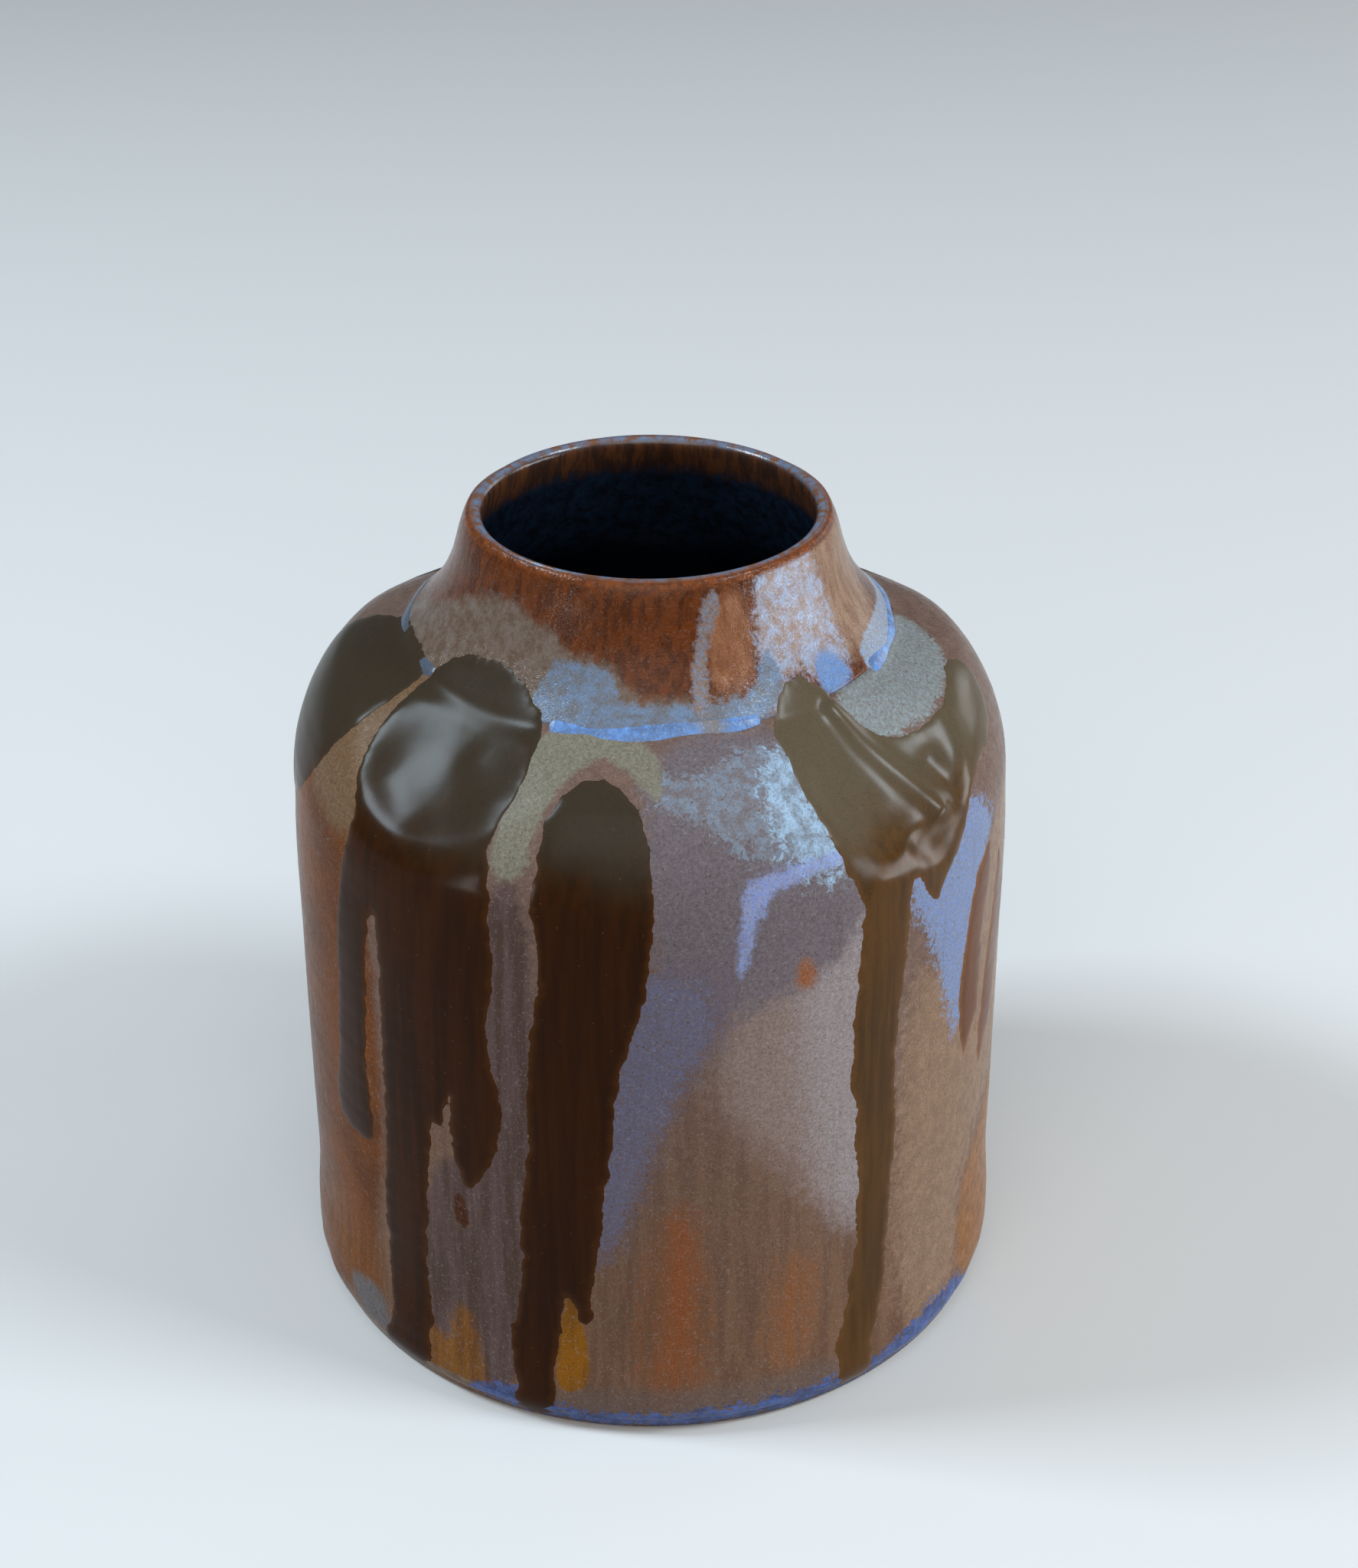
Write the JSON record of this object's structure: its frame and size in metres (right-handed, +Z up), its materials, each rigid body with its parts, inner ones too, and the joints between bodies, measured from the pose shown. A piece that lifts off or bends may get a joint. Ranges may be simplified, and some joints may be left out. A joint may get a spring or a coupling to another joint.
{
  "type": "stoneware vase",
  "caption": "Thrown stoneware vase, a straight drum body with a dimpled shoulder and a short flared neck, dipped in mottled glaze with dark poured runs.",
  "frame": {"origin": "centre of the foot on the surface the vase stands on", "axes": "+Z up along the vase's turning axis, front towards -Y, +X to the right seen from the front"},
  "size_m": [0.1392, 0.1392, 0.16],
  "materials": {
    "fired_clay_floor": "matte",
    "fired_clay_heel": "matte",
    "fired_clay_wall": "matte",
    "fired_clay_shoulder": "matte",
    "fired_clay_neck": "matte",
    "body_glaze": "gloss",
    "neck_glaze": "gloss",
    "liner_glaze": "gloss",
    "blue_roll": "gloss",
    "foot_roll": "gloss",
    "dark_run_left": "gloss",
    "dark_run_middle": "gloss",
    "dark_run_right": "gloss",
    "dark_run_side_front": "gloss",
    "dark_run_side_back": "gloss",
    "dark_run_far_left": "gloss",
    "dark_run_back_left": "gloss",
    "dark_run_back_right": "gloss",
    "dark_run_back_middle": "gloss"
  },
  "bodies": {
    "root": {"clay_floor": "fired_clay_floor", "clay_heel": "fired_clay_heel", "clay_wall": "fired_clay_wall", "clay_shoulder": "fired_clay_shoulder", "clay_neck": "fired_clay_neck", "body_glaze": "body_glaze", "neck_glaze": "neck_glaze", "liner_glaze": "liner_glaze", "seam_roll": "blue_roll", "foot_roll": "foot_roll", "run_left": "dark_run_left", "run_middle": "dark_run_middle", "run_right": "dark_run_right", "run_side_front": "dark_run_side_front", "run_side_back": "dark_run_side_back", "run_far_left": "dark_run_far_left", "run_back_left": "dark_run_back_left", "run_back_right": "dark_run_back_right", "run_back_middle": "dark_run_back_middle"}
  },
  "joints": []
}
